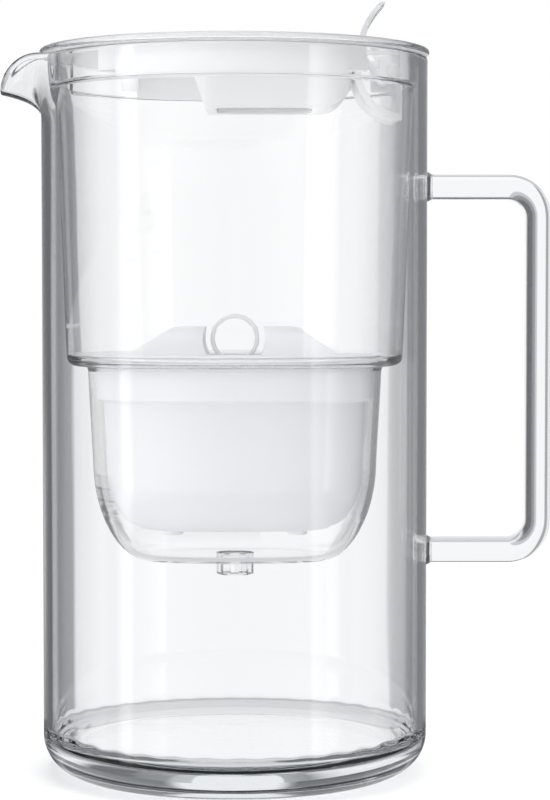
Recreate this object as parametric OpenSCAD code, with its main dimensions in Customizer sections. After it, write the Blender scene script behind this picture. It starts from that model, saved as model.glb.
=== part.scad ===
// Glass water filter pitcher with a flip lid.
// Origin at the centre of the base, +Z up, spout towards -X, handle towards +X.
// The jug, its funnel and its lid share the Z axis. Millimetres throughout.

/* [Glass jug] */
// Outside diameter of the glass
jug_d = 130; // [122:1:140]
// Height of the glass from the base to its rim
jug_h = 240.7; // [225:0.1:260]
// Thickness of the glass wall
jug_wall = 3; // [2.5:0.1:3.5]
// Thickness of the heavy glass bottom
base_t = 12; // [8:0.5:16]
// Outside radius between wall and base
base_corner_r = 13.3; // [8:0.1:16]
// Inside radius between wall and floor
floor_corner_r = 5; // [4:0.5:12]
// Fire-polished radius on the rim edges
rim_r = 1.1; // [0.5:0.1:1.2]

/* [Spout] */
// How far the spout's tip stands out from the glass
spout_reach = 14.3; // [8:0.1:20]
// Full width of the spout where it leaves the wall
spout_w = 45; // [30:1:52]
// How far the lip's tip lies below the rim
spout_drop = 10.7; // [6:0.1:16]
// Depth of the spout's root below the rim
spout_depth = 19.4; // [14:0.1:26]
// Thickness of the glass at the spout
spout_wall = 2.4; // [2:0.1:3]

/* [Handle] */
// Height of the middle of the lower arm
handle_low_z = 75.1; // [60:0.1:90]
// Height of the middle of the upper arm
handle_high_z = 197.7; // [170:0.1:212]
// Distance from the glass to the handle's outer face
handle_reach = 41.6; // [34:0.1:50]
// Thickness of the glass bar, seen from the side
bar_t = 8.3; // [7:0.1:10]
// Width of the glass bar, seen along the arms
bar_w = 12.5; // [10:0.1:15]
// Radius on the bar's long edges
bar_edge_r = 3.4; // [2:0.1:3.5]
// Radius of the bends on the middle of the bar
bend_r = 10.2; // [8:0.1:16]
// How far a weld bead stands proud of the bar
weld_proud = 0.8; // [0.4:0.1:1.2]
// Length of a weld bead along the arm
weld_len = 1.6; // [1:0.1:3]

/* [Funnel] */
// Thickness of the soft ring under the flange
gasket_t = 0.8; // [0.5:0.1:1.5]
// Height of the flange that lies over the glass rim
flange_t = 2.3; // [1.8:0.1:3]
// Depth of the thickened collar inside the glass
collar_h = 10.3; // [8:0.1:14]
// Wall of the clear plastic
funnel_wall = 1.9; // [1.5:0.1:2.2]
// Gap between the collar and the glass
collar_gap = 0.6; // [0.4:0.1:1]
// How far the reservoir wall steps in under the collar
wall_step = 1.2; // [0.8:0.1:1.6]
// How far the wall leans in on its way down to the deck
wall_lean = 3.5; // [1:0.1:5]
// Height of the reservoir's deck above the base, underside
deck_z = 137.7; // [120:0.1:160]
// Outside radius between wall and deck
deck_corner_r = 3.2; // [3:0.1:6]
// Width of the channel in the collar that lets water past to the spout
pour_gap_w = 30; // [20:1:38]

/* [Cartridge cup] */
// Half of the straight length in every oval
oval_straight = 16; // [12:0.5:18]
// Half-width of the cup under the deck
cup_top_a = 49.5; // [48:0.1:51]
// Depth of the cup below the deck's underside
cup_depth = 66.3; // [58:0.1:70]
// Width of the cup's rounded bottom corner
cup_corner_w = 19.5; // [14:0.1:24]
// Height of the cup's rounded bottom corner
cup_corner_h = 34.2; // [26:0.1:40]
// How far the cup's side leans in above its corner
cup_lean = 1.6; // [0.5:0.1:2]
// Diameter of the outlet collar under the cup
outlet_d = 12.5; // [10:0.5:16]
// Length of the outlet collar
outlet_len = 4.6; // [3:0.1:7]
// Width of a drip slot
drip_slot_w = 2.4; // [1.5:0.1:3]

/* [Cartridge] */
// Half-width of the cartridge's collar
collar_a = 46.8; // [46:0.1:47]
// Half-width of the cartridge under its collar
shell_a = 44.6; // [43.5:0.1:45]
// How far the cartridge's side leans in above its corner
shell_lean = 1.2; // [0.4:0.1:2]
// Wall of the white cartridge
shell_wall = 1.8; // [1.4:0.1:2.2]
// Depth of the cartridge below the deck's top
shell_depth = 57.1; // [50:0.1:60]
// Depth of the wide collar below the deck's top
shell_collar_h = 13.5; // [9:0.1:16]
// Width of the shell's rounded bottom corner
shell_corner_w = 14.4; // [10:0.1:18]
// Height of the shell's rounded bottom corner
shell_corner_h = 21.6; // [16:0.1:26]
// How far the lip reaches past the cartridge's collar
lip_reach = 2.6; // [1.8:0.1:3]
// Thickness of the lip
lip_t = 1.2; // [0.8:0.1:2]
// Thickness of the soft seal under the lip
lip_seal_t = 0.6; // [0.4:0.1:1]
// Thickness of the felt over the filter bed
felt_t = 3.5; // [2:0.5:6]
// Thickness of the cap's plate
cap_t = 2.8; // [2:0.1:4]
// Depth of the cap's skirt inside the cartridge
cap_skirt_h = 3.5; // [2:0.1:6]
// Distance of the two feet from the cartridge's middle
foot_x = 21; // [14:0.5:24]
// Diameter of a foot
foot_d = 7; // [5:0.5:9]
// Height of a foot
foot_h = 2.2; // [1:0.1:4]
// Width of an outlet slot in the cartridge's floor
outlet_slot_w = 2; // [1:0.1:2.5]
// Length of an outlet slot
outlet_slot_l = 14; // [8:0.5:20]
// Width of an inlet slot in the cap
inlet_slot_w = 1.6; // [1:0.1:2.2]
// Length of an inlet slot
inlet_slot_l = 9; // [6:0.5:10]
// Distance from slot to slot
slot_pitch = 5; // [4:0.1:6]
// Thickness of a mesh screen
screen_t = 0.5; // [0.3:0.1:1]
// Space that a fill piece keeps from the cartridge's wall
fill_gap = 0.3; // [0.2:0.05:0.6]
// Height of the cap's shoulders over the lip
shoulder_h = 9; // [6:0.5:12]
// Half-width of the shoulders at their foot
shoulder_foot = 35.3; // [30:0.1:38]
// Half-width of the shoulders at their top
shoulder_top = 21; // [17:0.1:26]
// Width of the shoulders across the cartridge
shoulder_w = 34; // [24:1:44]
// Outside diameter of the pull ring
ring_d = 16.4; // [15:0.1:18]
// Space between the pull ring and the round recess in the cap
ring_gap = 2.2; // [1.5:0.1:3]
// How far the pull ring is sunk into the cap
ring_sink = 2.8; // [1:0.1:3]
// Width of the foot under the pull ring
ring_foot_w = 8; // [5:0.5:10]
// Wall of the pull ring
ring_wall = 1.4; // [1.2:0.1:2]
// Depth of the pull ring across the cartridge
ring_w = 6; // [4:0.5:9]

/* [Lid] */
// Gap between the lid and the funnel's collar
lid_gap = 0.3; // [0.2:0.05:0.5]
// Thickness of the lid's skirt
skirt_t = 1.8; // [1.4:0.1:2.2]
// How far the skirt's ends lap over the grip blocks
skirt_lap = 1; // [0.5:0.1:2]
// Width of the piece of skirt behind the hinge
hinge_wall_w = 44; // [42:0.5:46]
// Thickness of the lid's plate
plate_t = 2; // [1.6:0.1:2.6]
// How far the lid's border stands over its plate
border_h = 1.8; // [1:0.1:2.4]
// Where the filling chute starts on the spout side
chute_front_x = -15.2; // [-24:0.1:-10]
// Distance from the chute's back to the hinge axis
chute_to_hinge = 12.5; // [12.3:0.1:16]
// Width of the chute across the lid
chute_w = 40; // [30:1:48]
// Depth of the chute below the lid's plate
chute_depth = 16.7; // [10:0.1:22]
// Wall of the chute
chute_wall = 2; // [1.6:0.1:2.4]
// How far the chute's front leans in on its way down
chute_lean = 5.6; // [3:0.1:8]
// Radius of the large round under the chute's back
chute_turn_r = 10; // [6:0.1:12]
// Corner radius of the chute, seen from above
chute_corner_r = 9; // [5:0.5:12]
// Distance from the chute's front to its filling hole
hole_front = 9; // [8:0.5:12]
// Distance from the filling hole to the chute's back
hole_back = 13; // [12:0.5:16]
// Distance from the filling hole to the chute's sides
hole_side = 6; // [4:0.5:9]
// Corner radius of the filling hole
hole_corner_r = 5; // [2:0.5:7]
// Distance of the grip blocks from the lid's middle
grip_x = 38.3; // [34:0.1:41]
// Width of a grip block
grip_w = 6.6; // [4:0.1:9]
// How far a grip block stands in from the skirt
grip_reach = 3; // [2:0.1:5]
// Height of a grip block under the plate
grip_h = 6.8; // [4:0.1:7.8]

/* [Hinge] */
// Distance of the hinge axis from the lid's edge
hinge_inset = 7.7; // [7.3:0.1:8]
// Depth of the hinge axis below the lid's plate
hinge_drop = 5; // [4.6:0.1:5.4]
// Diameter of the hinge pins
pin_d = 4.16; // [3.8:0.02:4.6]
// Running gap round a hinge pin, on the radius
pin_gap = 0.07; // [0.03:0.01:0.1]
// Thickness of a bearing plate
bearing_t = 3; // [2:0.1:4]
// Width of a bearing plate
bearing_w = 8.5; // [7.5:0.1:9]
// Height of a bearing plate over the hinge axis
bearing_over = 4.6; // [3.6:0.1:4.9]
// Depth of a bearing plate under the hinge axis
bearing_under = 4; // [3.2:0.1:4.4]
// Width of the snap-in mouth at its top
snap_mouth_w = 6.2; // [5:0.1:7]
// Width of the snap-in mouth at the bore
snap_neck_w = 3.4; // [3:0.1:3.8]
// Distance from the hinge axis to the front of its slot
slot_reach = 8; // [7.6:0.1:9]
// Distance between the flap's two arms, outside to outside
arms_span = 34; // [30:1:36]
// Thickness of an arm
arm_t = 2.4; // [1.8:0.1:3]
// Gap between an arm and its bearing
arm_gap = 0.4; // [0.3:0.05:0.6]
// Width of the well under the hinge
well_w = 27; // [20:1:28]
// Radius of the well's round front
well_r = 15.8; // [13:0.1:17]
// Distance from the hinge axis to the well's back wall
well_back = 4.1; // [3.6:0.1:4.3]
// Outside radius of the well's lower corner
well_corner_r = 3; // [1:0.1:4]
// Thickness of the well's wall
well_wall = 2.2; // [1.6:0.1:2.6]

/* [Flap] */
// Thickness of the flap
flap_t = 2; // [1.6:0.1:3]
// Thickness of the seal under the flap
flap_seal_t = 0.8; // [0.5:0.1:1.2]
// How far the flap reaches past the chute all round
flap_margin = 4.2; // [4:0.1:5]
// Corner radius of the flap
flap_corner_r = 7; // [4:0.5:12]
// Gap between the flap's back and its arms' slot
flap_back_gap = 0.5; // [0.3:0.1:1]
// Width of the seal's strip
seal_w = 2.4; // [1.6:0.1:3]
// How far the seal's outer edge lies outside the chute
seal_out = 0.7; // [0.3:0.1:1.2]
// Wall of the boss round a hinge pin
boss_wall = 0.4; // [0.3:0.05:0.5]
// Height of the thumb tab over the flap
tab_h = 14.6; // [10:0.1:20]
// Width of the thumb tab
tab_w = 23; // [14:1:28]
// Thickness of the thumb tab at its middle
tab_t = 1.5; // [1.2:0.1:2]
// How far the thumb tab's tip leans back
tab_lean = 7.7; // [4:0.1:10]
// Corner radius of the thumb tab's tip
tab_corner_r = 6; // [2:0.5:9]
// Distance from the flap's back to the front of the tab's foot
tab_inset = 2.6; // [2.2:0.1:4]

/* [Hidden] */
$fn = 96;
eps = 0.01;

// Glass
jug_r = jug_d / 2;
jug_in_r = jug_r - jug_wall;
spout_root_x = -sqrt(pow(jug_r, 2) - pow(spout_w / 2, 2));
spout_tip_x = -jug_r - spout_reach;
spout_steps = 16;
section_steps = 18;

// Handle
bar_x = jug_r + handle_reach - bar_t / 2;

// Funnel, from the rim down
flange_z = jug_h + gasket_t;
flange_top = flange_z + flange_t;
collar_r = jug_in_r - collar_gap;
collar_in_r = collar_r - funnel_wall;
ledge_z = flange_z - collar_h;
wall_r = collar_r - wall_step;
wall_low_r = wall_r - wall_lean;
deck_top = deck_z + funnel_wall;
cup_bottom = deck_z - cup_depth;
edge_r = 0.7;

// Cartridge, from the deck up and down
shell_bottom = deck_top - shell_depth;
shell_floor = shell_bottom + shell_wall;
lip_z = deck_top + lip_seal_t;
lip_top = lip_z + lip_t;
cap_a = collar_a - shell_wall - fill_gap;
cap_skirt_a = shell_a - shell_wall - fill_gap;
screen_top = lip_top - cap_t - cap_skirt_h;
felt_top = screen_top - screen_t;
media_top = felt_top - felt_t;
media_bottom = shell_floor + screen_t;
ring_z = lip_top + ring_d / 2 - ring_sink;
ring_seat_r = ring_d / 2 + ring_gap;
shoulder_z = lip_top + shoulder_h;
shoulder_round = 1.2;
shoulder_side_r = 5;

// Lid and flap, from the funnel's ledge up
lid_r = collar_in_r - lid_gap;
plate_top = flange_top - border_h;
plate_z = plate_top - plate_t;
chute_z = plate_z - chute_depth;
hinge_z = plate_z - hinge_drop;
skirt_in_r = lid_r - skirt_t;
hinge_x = lid_r - hinge_inset;
chute_back_x = hinge_x - chute_to_hinge;
slot_x = hinge_x - slot_reach;
slot_w = arms_span + 2 * (arm_gap + bearing_t) + 2 * arm_gap;
bore_r = pin_d / 2 + pin_gap;
boss_r = pin_d / 2 + boss_wall;
bearing_y = arms_span / 2 + arm_gap + bearing_t / 2;
well_x = hinge_x + well_back + well_wall / 2 - 0.2;
well_z = hinge_z + 1;
well_side_x = hinge_x + well_back;
well_clear_r = wall_r - funnel_wall - 2 * lid_gap - wall_step;
flap_z = plate_top + flap_seal_t;
flap_top = flap_z + flap_t;
flap_back_x = slot_x + flap_back_gap;
tab_x = flap_back_x - tab_inset;

// Points along an arc, for outlines
function arc(x, y, r, from, to, steps = 8) =
    [for (i = [0:steps]) let (a = from + (to - from) * i / steps) [x + r * cos(a), y + r * sin(a)]];

// Half outline of an oval bowl: a flat bottom, an elliptical corner and a leaning side.
// half_w is the half-width at the top, lean how much is lost down to the corner, in is a wall.
function bowl(half_w, lean, top, bottom, corner_w, corner_h, in = 0, steps = 10) =
    let (side = half_w - lean - oval_straight)
    concat(
        [[0, bottom + in]],
        [for (i = [0:steps]) let (a = -90 + 90 * i / steps)
            [side - corner_w + (corner_w - in) * cos(a), bottom + corner_h + (corner_h - in) * sin(a)]],
        [[half_w - oval_straight - in, top], [0, top]]
    );

// Sweeps a half outline round the shared oval: two half turns and a straight between them
module oval(points) {
    for (side = [-1, 1])
        translate([side * oval_straight, 0, 0])
            rotate([0, 0, -90 * side])
                rotate_extrude(angle = 180)
                    polygon(points);
    rotate([90, 0, 90])
        linear_extrude(2 * oval_straight, center = true)
            union() {
                polygon(points);
                mirror([1, 0])
                    polygon(points);
            }
}

// The solid of the funnel's cup up to a height, smaller all round by a wall where asked
module cup(top, in = 0) {
    oval(bowl(cup_top_a, cup_lean, top, cup_bottom, cup_corner_w, cup_corner_h, in));
}

// The solid of the cartridge's housing up to a height, smaller all round where asked
module housing(top, in = 0) {
    oval(bowl(shell_a, shell_lean, top, shell_bottom, shell_corner_w, shell_corner_h, in));
}

// A flat oval plate
module oval_plate(half_w, z, h) {
    oval([[0, z], [half_w - oval_straight, z], [half_w - oval_straight, z + h], [0, z + h]]);
}

// A flat oval ring
module oval_ring(half_w, ring, z, h) {
    difference() {
        oval_plate(half_w, z, h);
        oval_plate(half_w - ring, z - 1, h + 2);
    }
}

// A rectangle with round corners, from corner to corner
module round_rect(x0, y0, x1, y1, r) {
    translate([x0 + r, y0])
        square([x1 - x0 - 2 * r, y1 - y0]);
    translate([x0, y0 + r])
        square([x1 - x0, y1 - y0 - 2 * r]);
    for (x = [x0 + r, x1 - r], y = [y0 + r, y1 - r])
        translate([x, y])
            circle(r);
}

// Draws a side view, in X and Z, across the jug with the given width
module across(width, y = 0) {
    translate([0, y, 0])
        rotate([90, 0, 0])
            linear_extrude(width, center = true)
                children();
}

// The spout's section at each step: its place, half-width, lip and bottom.
// s runs from 0 at the root to 1 at the tip, and in is the wall taken off for the channel.
function spout_x(s) = spout_root_x + (spout_tip_x - spout_root_x) * s;
function beyond_wall(s) = max(0, -spout_x(s) - jug_r) / spout_reach;
function spout_half_w(s) = (spout_w / 2 + 0.6) * pow(1 - pow(s, 1.15), 0.62);
function spout_lip(s) = jug_h - spout_drop * (1 - sqrt(1 - pow(beyond_wall(s), 2)));
function spout_bottom(s) =
    jug_h - spout_depth + (spout_depth - spout_drop - 0.5) * pow(beyond_wall(s), 0.6);

// One U-shaped section of the spout's outside
function spout_section(s) =
    [for (i = [0:section_steps]) let (a = 180 * i / section_steps, lip = spout_lip(s))
        [spout_x(s), -spout_half_w(s) * cos(a), lip - (lip - spout_bottom(s)) * sin(a)]];

// One section of the channel, open upwards
function channel_section(s) =
    let (half_w = max(0.3, spout_half_w(s) - spout_wall), low = spout_bottom(s) + spout_wall * 0.8)
    concat(
        [[spout_x(s), -half_w, jug_h + 5]],
        [for (i = [0:section_steps]) let (a = 180 * i / section_steps, lip = max(spout_lip(s), low + 0.3))
            [spout_x(s), -half_w * cos(a), lip - (lip - low) * sin(a)]],
        [[spout_x(s), half_w, jug_h + 5]]
    );

// Skins a row of sections that all have the same number of points
module loft(sections) {
    n = len(sections[0]);
    rows = len(sections);
    polyhedron(
        points = [for (section = sections) each section],
        faces = concat(
            [[for (i = [n - 1:-1:0]) i]],
            [for (row = [0:rows - 2], i = [0:n - 1])
                let (a = row * n + i, b = row * n + (i + 1) % n) each [[a, b, b + n], [a, b + n, a + n]]],
            [[for (i = [0:n - 1]) (rows - 1) * n + i]]
        ),
        convexity = 6
    );
}

// The blown cylinder: heavy base, polished rim and drawn spout
module glass_jug() {
    outside = concat(
        [[0, 0]],
        arc(jug_r - base_corner_r, base_corner_r, base_corner_r, -90, 0),
        arc(jug_r - rim_r, jug_h - rim_r, rim_r, 0, 90, 4),
        [[0, jug_h]]
    );
    hollow = concat(
        [[0, base_t]],
        arc(jug_in_r - floor_corner_r, base_t + floor_corner_r, floor_corner_r, -90, 0),
        [[jug_in_r, jug_h + 1], [0, jug_h + 1]]
    );
    color("lightblue", 0.35)
        difference() {
            union() {
                rotate_extrude()
                    polygon(outside);
                loft([for (i = [0:spout_steps]) spout_section(0.985 * i / spout_steps)]);
            }
            rotate_extrude()
                polygon(hollow);
            loft([for (i = [-2:spout_steps]) channel_section(max(-0.15, 0.93 * i / spout_steps))]);
        }
}

// The bar's section: a rectangle with round edges, grown by a weld bead where asked
module bar_section(grow = 0) {
    round_rect(-bar_w / 2 - grow, -bar_t / 2 - grow, bar_w / 2 + grow, bar_t / 2 + grow, bar_edge_r + grow);
}

// One arm from inside the glass wall out to the bend
module handle_arm(z) {
    translate([0, 0, z])
        rotate([90, 0, 90]) {
            linear_extrude(bar_x - bend_r)
                bar_section();
            linear_extrude(jug_r + weld_len)
                bar_section(weld_proud);
        }
}

// The fused D handle: two arms, two bends and the upright that the hand holds
module handle() {
    color("lightblue", 0.45)
        difference() {
            union() {
                handle_arm(handle_low_z);
                handle_arm(handle_high_z);
                translate([bar_x, 0, handle_low_z + bend_r])
                    rotate([0, 0, 90])
                        linear_extrude(handle_high_z - handle_low_z - 2 * bend_r)
                            bar_section();
                for (up = [0, 1])
                    translate([bar_x - bend_r, 0, up ? handle_high_z - bend_r : handle_low_z + bend_r])
                        rotate([90, up ? 0 : 90, 0])
                            rotate_extrude(angle = 90)
                                translate([bend_r, 0])
                                    rotate(90)
                                        bar_section();
            }
            cylinder(h = jug_h, r = jug_r);
        }
}

// Soft ring between the funnel's flange and the glass rim
module rim_gasket() {
    color("whitesmoke")
        translate([0, 0, jug_h])
            difference() {
                cylinder(h = gasket_t, r = jug_r - 0.4);
                translate([0, 0, -1])
                    cylinder(h = gasket_t + 2, r = collar_r);
            }
}

// The clear reservoir: flange over the glass, collar, leaning wall, deck and oval cup
module funnel() {
    outside = concat(
        [[0, deck_z]],
        arc(wall_low_r - deck_corner_r, deck_z + deck_corner_r, deck_corner_r, -90, 0),
        [[wall_r, ledge_z - wall_step], [collar_r, ledge_z], [collar_r, flange_z]],
        arc(jug_r - edge_r + 0.5, flange_z + edge_r, edge_r, -90, 0, 4),
        arc(jug_r - edge_r + 0.5, flange_top - edge_r, edge_r, 0, 90, 4),
        [[0, flange_top]]
    );
    in_corner_r = deck_corner_r - funnel_wall;
    in_low_r = wall_low_r - funnel_wall;
    hollow = concat(
        [[0, deck_top]],
        arc(in_low_r - in_corner_r, deck_top + in_corner_r, in_corner_r, -90, 0),
        [[wall_r - funnel_wall, ledge_z], [collar_in_r, ledge_z]],
        [[collar_in_r, flange_top + 1], [0, flange_top + 1]]
    );
    color("azure", 0.4)
        difference() {
            union() {
                rotate_extrude()
                    polygon(outside);
                cup(deck_top);
                translate([0, 0, cup_bottom - outlet_len])
                    cylinder(h = outlet_len + funnel_wall, d = outlet_d);
            }
            rotate_extrude()
                polygon(hollow);
            cup(deck_top + 1, funnel_wall);
            drip_slots();
            pour_gap();
        }
}

// Two slots beside a bridge let the filtered water drip from the outlet collar
module drip_slots() {
    for (side = [-1, 1])
        translate([side * outlet_d / 5, 0, cup_bottom - outlet_len / 2])
            cube([drip_slot_w, outlet_d * 0.6, outlet_len + 4 * funnel_wall], center = true);
}

// The collar is thinned on the spout side, so that water reaches the lip
module pour_gap() {
    intersection() {
        difference() {
            cylinder(h = flange_z, r = jug_r);
            translate([0, 0, -1])
                cylinder(h = flange_z + 2, r = wall_r);
        }
        translate([-jug_r, -pour_gap_w / 2, ledge_z - wall_step])
            cube([jug_r, pour_gap_w, collar_h + wall_step]);
    }
}

// The oval filter housing, hung from its lip, with outlet slots and two feet
module cartridge_shell() {
    color("white")
        difference() {
            union() {
                housing(deck_top);
                oval_plate(collar_a, deck_top - shell_collar_h, lip_top - deck_top + shell_collar_h);
                oval_plate(collar_a + lip_reach, lip_z, lip_t);
                for (side = [-1, 1])
                    translate([side * foot_x, 0, shell_bottom - foot_h])
                        cylinder(h = foot_h + shell_wall, d = foot_d);
            }
            housing(lip_top + 1, shell_wall);
            oval_plate(collar_a - shell_wall, lip_top - cap_t, cap_t + 1);
            outlet_slots();
        }
}

// A row of narrow slots in the floor between the feet
module outlet_slots() {
    for (i = [-2:2])
        translate([i * slot_pitch, 0, shell_bottom])
            cube([outlet_slot_w, outlet_slot_l, 4 * shell_wall], center = true);
}

// The shouldered cap: a plate in the shell's mouth, a skirt inside it and two slotted shoulders
module cartridge_cap() {
    right = [
        [shoulder_top - 2 * shoulder_round, shoulder_z],
        [shoulder_top + 2 * shoulder_round, shoulder_z - shoulder_round],
        [shoulder_foot, lip_top], [shoulder_foot, lip_top - cap_t / 2]
    ];
    left = [for (i = [len(right) - 1:-1:0]) [-right[i][0], right[i][1]]];
    color("white")
        difference() {
            union() {
                oval_plate(cap_a, lip_top - cap_t, cap_t);
                oval_ring(cap_skirt_a, shell_wall, screen_top, cap_skirt_h + 1);
                translate([-ring_seat_r, -shoulder_w / 2 + shoulder_side_r, screen_top])
                    cube([2 * ring_seat_r, shoulder_w - 2 * shoulder_side_r, cap_skirt_h + 1]);
                intersection() {
                    across(shoulder_w)
                        polygon(concat(right, left));
                    rotate([90, 0, 90])
                        linear_extrude(3 * shoulder_foot, center = true)
                            round_rect(
                                -shoulder_w / 2, lip_top - 2 * shoulder_side_r,
                                shoulder_w / 2, shoulder_z, shoulder_side_r
                            );
                }
            }
            across(ring_w + 2 * shoulder_side_r)
                translate([0, ring_z])
                    circle(ring_seat_r);
            across(shoulder_w + 2)
                shoulder_gap();
            inlet_slots();
        }
}

// Between the shoulders the cap is open down to its plate
module shoulder_gap() {
    intersection() {
        translate([0, ring_z])
            circle(ring_seat_r);
        translate([-ring_seat_r, lip_top])
            square(2 * ring_seat_r);
    }
}

// Slots through both shoulders, which let the water in
module inlet_slots() {
    for (side = [-1, 1], i = [-2:2])
        translate([side * (shoulder_foot + shoulder_top) / 2, i * slot_pitch, lip_top])
            cube([inlet_slot_l, inlet_slot_w, 2 * (shoulder_h + cap_t)], center = true);
}

// The finger ring, its foot seated in the round recess of the cap
module pull_ring() {
    color("white")
        across(ring_w)
            difference() {
                union() {
                    translate([0, ring_z])
                        circle(d = ring_d);
                    intersection() {
                        translate([0, ring_z])
                            circle(ring_seat_r);
                        translate([-ring_foot_w / 2, ring_z - ring_seat_r])
                            square([ring_foot_w, ring_seat_r]);
                    }
                }
                translate([0, ring_z])
                    circle(d = ring_d - 2 * ring_wall);
            }
}

// Soft ring between the cartridge's lip and the deck
module lip_seal() {
    color("gainsboro")
        oval_ring(collar_a + lip_reach, lip_reach - fill_gap, deck_top, lip_seal_t);
}

// A layer of the cartridge's filling, shaped by the shell's inside
module fill_layer(from, to) {
    intersection() {
        housing(lip_top, shell_wall + fill_gap);
        translate([-2 * shell_a, -2 * shell_a, from])
            cube([4 * shell_a, 4 * shell_a, to - from]);
    }
}

// Mesh under the cap
module inlet_screen() {
    color("lightgray")
        fill_layer(felt_top, screen_top);
}

// Felt that spreads the water over the bed
module felt_pad() {
    color("white")
        fill_layer(media_top, felt_top);
}

// Carbon and resin beads, as one closed bed
module filter_media() {
    color("dimgray")
        fill_layer(media_bottom, media_top);
}

// Mesh over the outlet slots, flat on the shell's floor
module outlet_screen() {
    color("lightgray")
        oval_plate(shell_a - shell_lean - shell_corner_w, shell_floor, screen_t);
}

// The lid: border, plate and skirt, with its chute, hinge bearings and well
module lid_frame() {
    color("white")
        difference() {
            union() {
                difference() {
                    lid_shell();
                    skirt_windows();
                }
                chute_outside();
                intersection() {
                    union() {
                        bearings();
                        grip_blocks();
                    }
                    cylinder(h = plate_top, r = lid_r - skirt_t / 2);
                }
                intersection() {
                    hinge_well();
                    cylinder(h = plate_top, r = well_clear_r);
                }
            }
            chute_inside();
            hinge_slot();
            bearing_cuts();
        }
}

// Border, plate and skirt turned in one piece
module lid_shell() {
    border_in_r = skirt_in_r - 2 * edge_r;
    rotate_extrude()
        polygon(concat(
            [[0, plate_z], [skirt_in_r, plate_z], [skirt_in_r, ledge_z], [lid_r, ledge_z]],
            arc(lid_r - edge_r, flange_top - edge_r, edge_r, 0, 90, 4),
            arc(border_in_r + edge_r, flange_top - edge_r, edge_r, 90, 180, 4),
            [[border_in_r, plate_top], [0, plate_top]]
        ));
}

// The skirt is open on the spout side and on both sides of the hinge
module skirt_windows() {
    half_l = grip_x - grip_w / 2 + skirt_lap;
    difference() {
        translate([-2 * lid_r, -2 * lid_r, ledge_z - 1])
            cube([4 * lid_r, 4 * lid_r, plate_z - ledge_z + 1]);
        translate([-half_l, -3 * lid_r, ledge_z - 2])
            cube([2 * half_l, 6 * lid_r, plate_z]);
        translate([0, -hinge_wall_w / 2, ledge_z - 2])
            cube([3 * lid_r, hinge_wall_w, plate_z]);
    }
}

// Side view of the chute: it leans in at the front and turns under in a large round at the back
module chute_view(in = 0) {
    polygon(concat(
        [[chute_front_x + in, plate_z + (in > 0 ? plate_t + 1 : 0)]],
        [[chute_front_x + chute_lean + in, chute_z + in]],
        arc(chute_back_x - chute_turn_r, chute_z + chute_turn_r, chute_turn_r - in, -90, 0),
        [[chute_back_x - in, plate_z + (in > 0 ? plate_t + 1 : 0)]]
    ));
}

// Plan view of the chute
module chute_plan(in = 0) {
    round_rect(
        chute_front_x + in, -chute_w / 2 + in, chute_back_x - in, chute_w / 2 - in, chute_corner_r - in
    );
}

// The chute's full body
module chute_outside() {
    intersection() {
        across(chute_w + 2)
            chute_view();
        translate([0, 0, chute_z - 1])
            linear_extrude(chute_depth + plate_t)
                chute_plan();
    }
}

// The chute's hollow, with an open mouth and a filling hole in its bottom
module chute_inside() {
    intersection() {
        across(chute_w)
            chute_view(chute_wall);
        translate([0, 0, chute_z])
            linear_extrude(chute_depth + 2 * plate_t)
                chute_plan(chute_wall);
    }
    translate([0, 0, chute_z - 1])
        linear_extrude(chute_wall + 2)
            round_rect(
                chute_front_x + hole_front, -chute_w / 2 + hole_side,
                chute_back_x - hole_back, chute_w / 2 - hole_side, hole_corner_r
            );
}

// The J-shaped well that hangs under the hinge slot
module hinge_well() {
    across(well_w) {
        difference() {
            translate([well_x, well_z])
                circle(well_r + well_wall / 2);
            translate([well_x, well_z])
                circle(well_r - well_wall / 2);
            translate([well_x - 2 * well_r, well_z])
                square([4 * well_r, 2 * well_r]);
            translate([well_side_x + well_wall / 2, well_z - 2 * well_r])
                square([2 * well_r, 4 * well_r]);
            well_corner();
        }
        difference() {
            translate([well_side_x - well_wall / 2, well_z - well_r])
                square([well_wall, ledge_z - well_z + well_r + well_wall]);
            well_corner();
        }
        translate([well_x - well_r - well_wall / 2, well_z - eps])
            square([well_wall, plate_z - well_z + 1]);
    }
}

// What is taken off to round the well's lower corner
module well_corner() {
    outside = [well_side_x + well_wall / 2, well_z - well_r - well_wall / 2];
    translate(outside + [-well_corner_r, well_corner_r])
        difference() {
            translate([0, -well_corner_r - 1])
                square([well_corner_r + 1, well_corner_r + 1]);
            circle(well_corner_r);
        }
}

// Two bearing plates that stand on the skirt
module bearings() {
    for (side = [-1, 1])
        across(bearing_t, side * bearing_y)
            translate([hinge_x - bearing_w / 2, hinge_z - bearing_under])
                square([bearing_w / 2 + hinge_inset, bearing_under + bearing_over]);
}

// The bore in each bearing, and the V through which its pin snaps in
module bearing_cuts() {
    for (side = [-1, 1])
        across(bearing_t + 2 * arm_gap, side * bearing_y)
            translate([hinge_x, hinge_z]) {
                circle(bore_r);
                polygon([
                    [-snap_neck_w / 2, bore_r / 2], [-snap_mouth_w / 2, bearing_over + 1],
                    [snap_mouth_w / 2, bearing_over + 1], [snap_neck_w / 2, bore_r / 2]
                ]);
            }
}

// Four blocks on the skirt that centre the lid and give the fingers a hold
module grip_blocks() {
    inner_y = sqrt(pow(skirt_in_r, 2) - pow(grip_x + grip_w / 2, 2)) - grip_reach;
    for (x = [-grip_x, grip_x], flip = [0, 1])
        mirror([0, flip, 0])
            translate([x - grip_w / 2, inner_y, plate_z - grip_h])
                cube([grip_w, lid_r - inner_y, grip_h + plate_t / 2]);
}

// The slot in the plate through which the flap's arms reach their bearings.
// It is let into the border, so that the arms can swing back.
module hinge_slot() {
    intersection() {
        translate([slot_x, -slot_w / 2, plate_z - arm_gap])
            cube([lid_r, slot_w, plate_t + border_h + 2]);
        cylinder(h = 2 * flange_top, r = lid_r - skirt_t / 2);
    }
}

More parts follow.
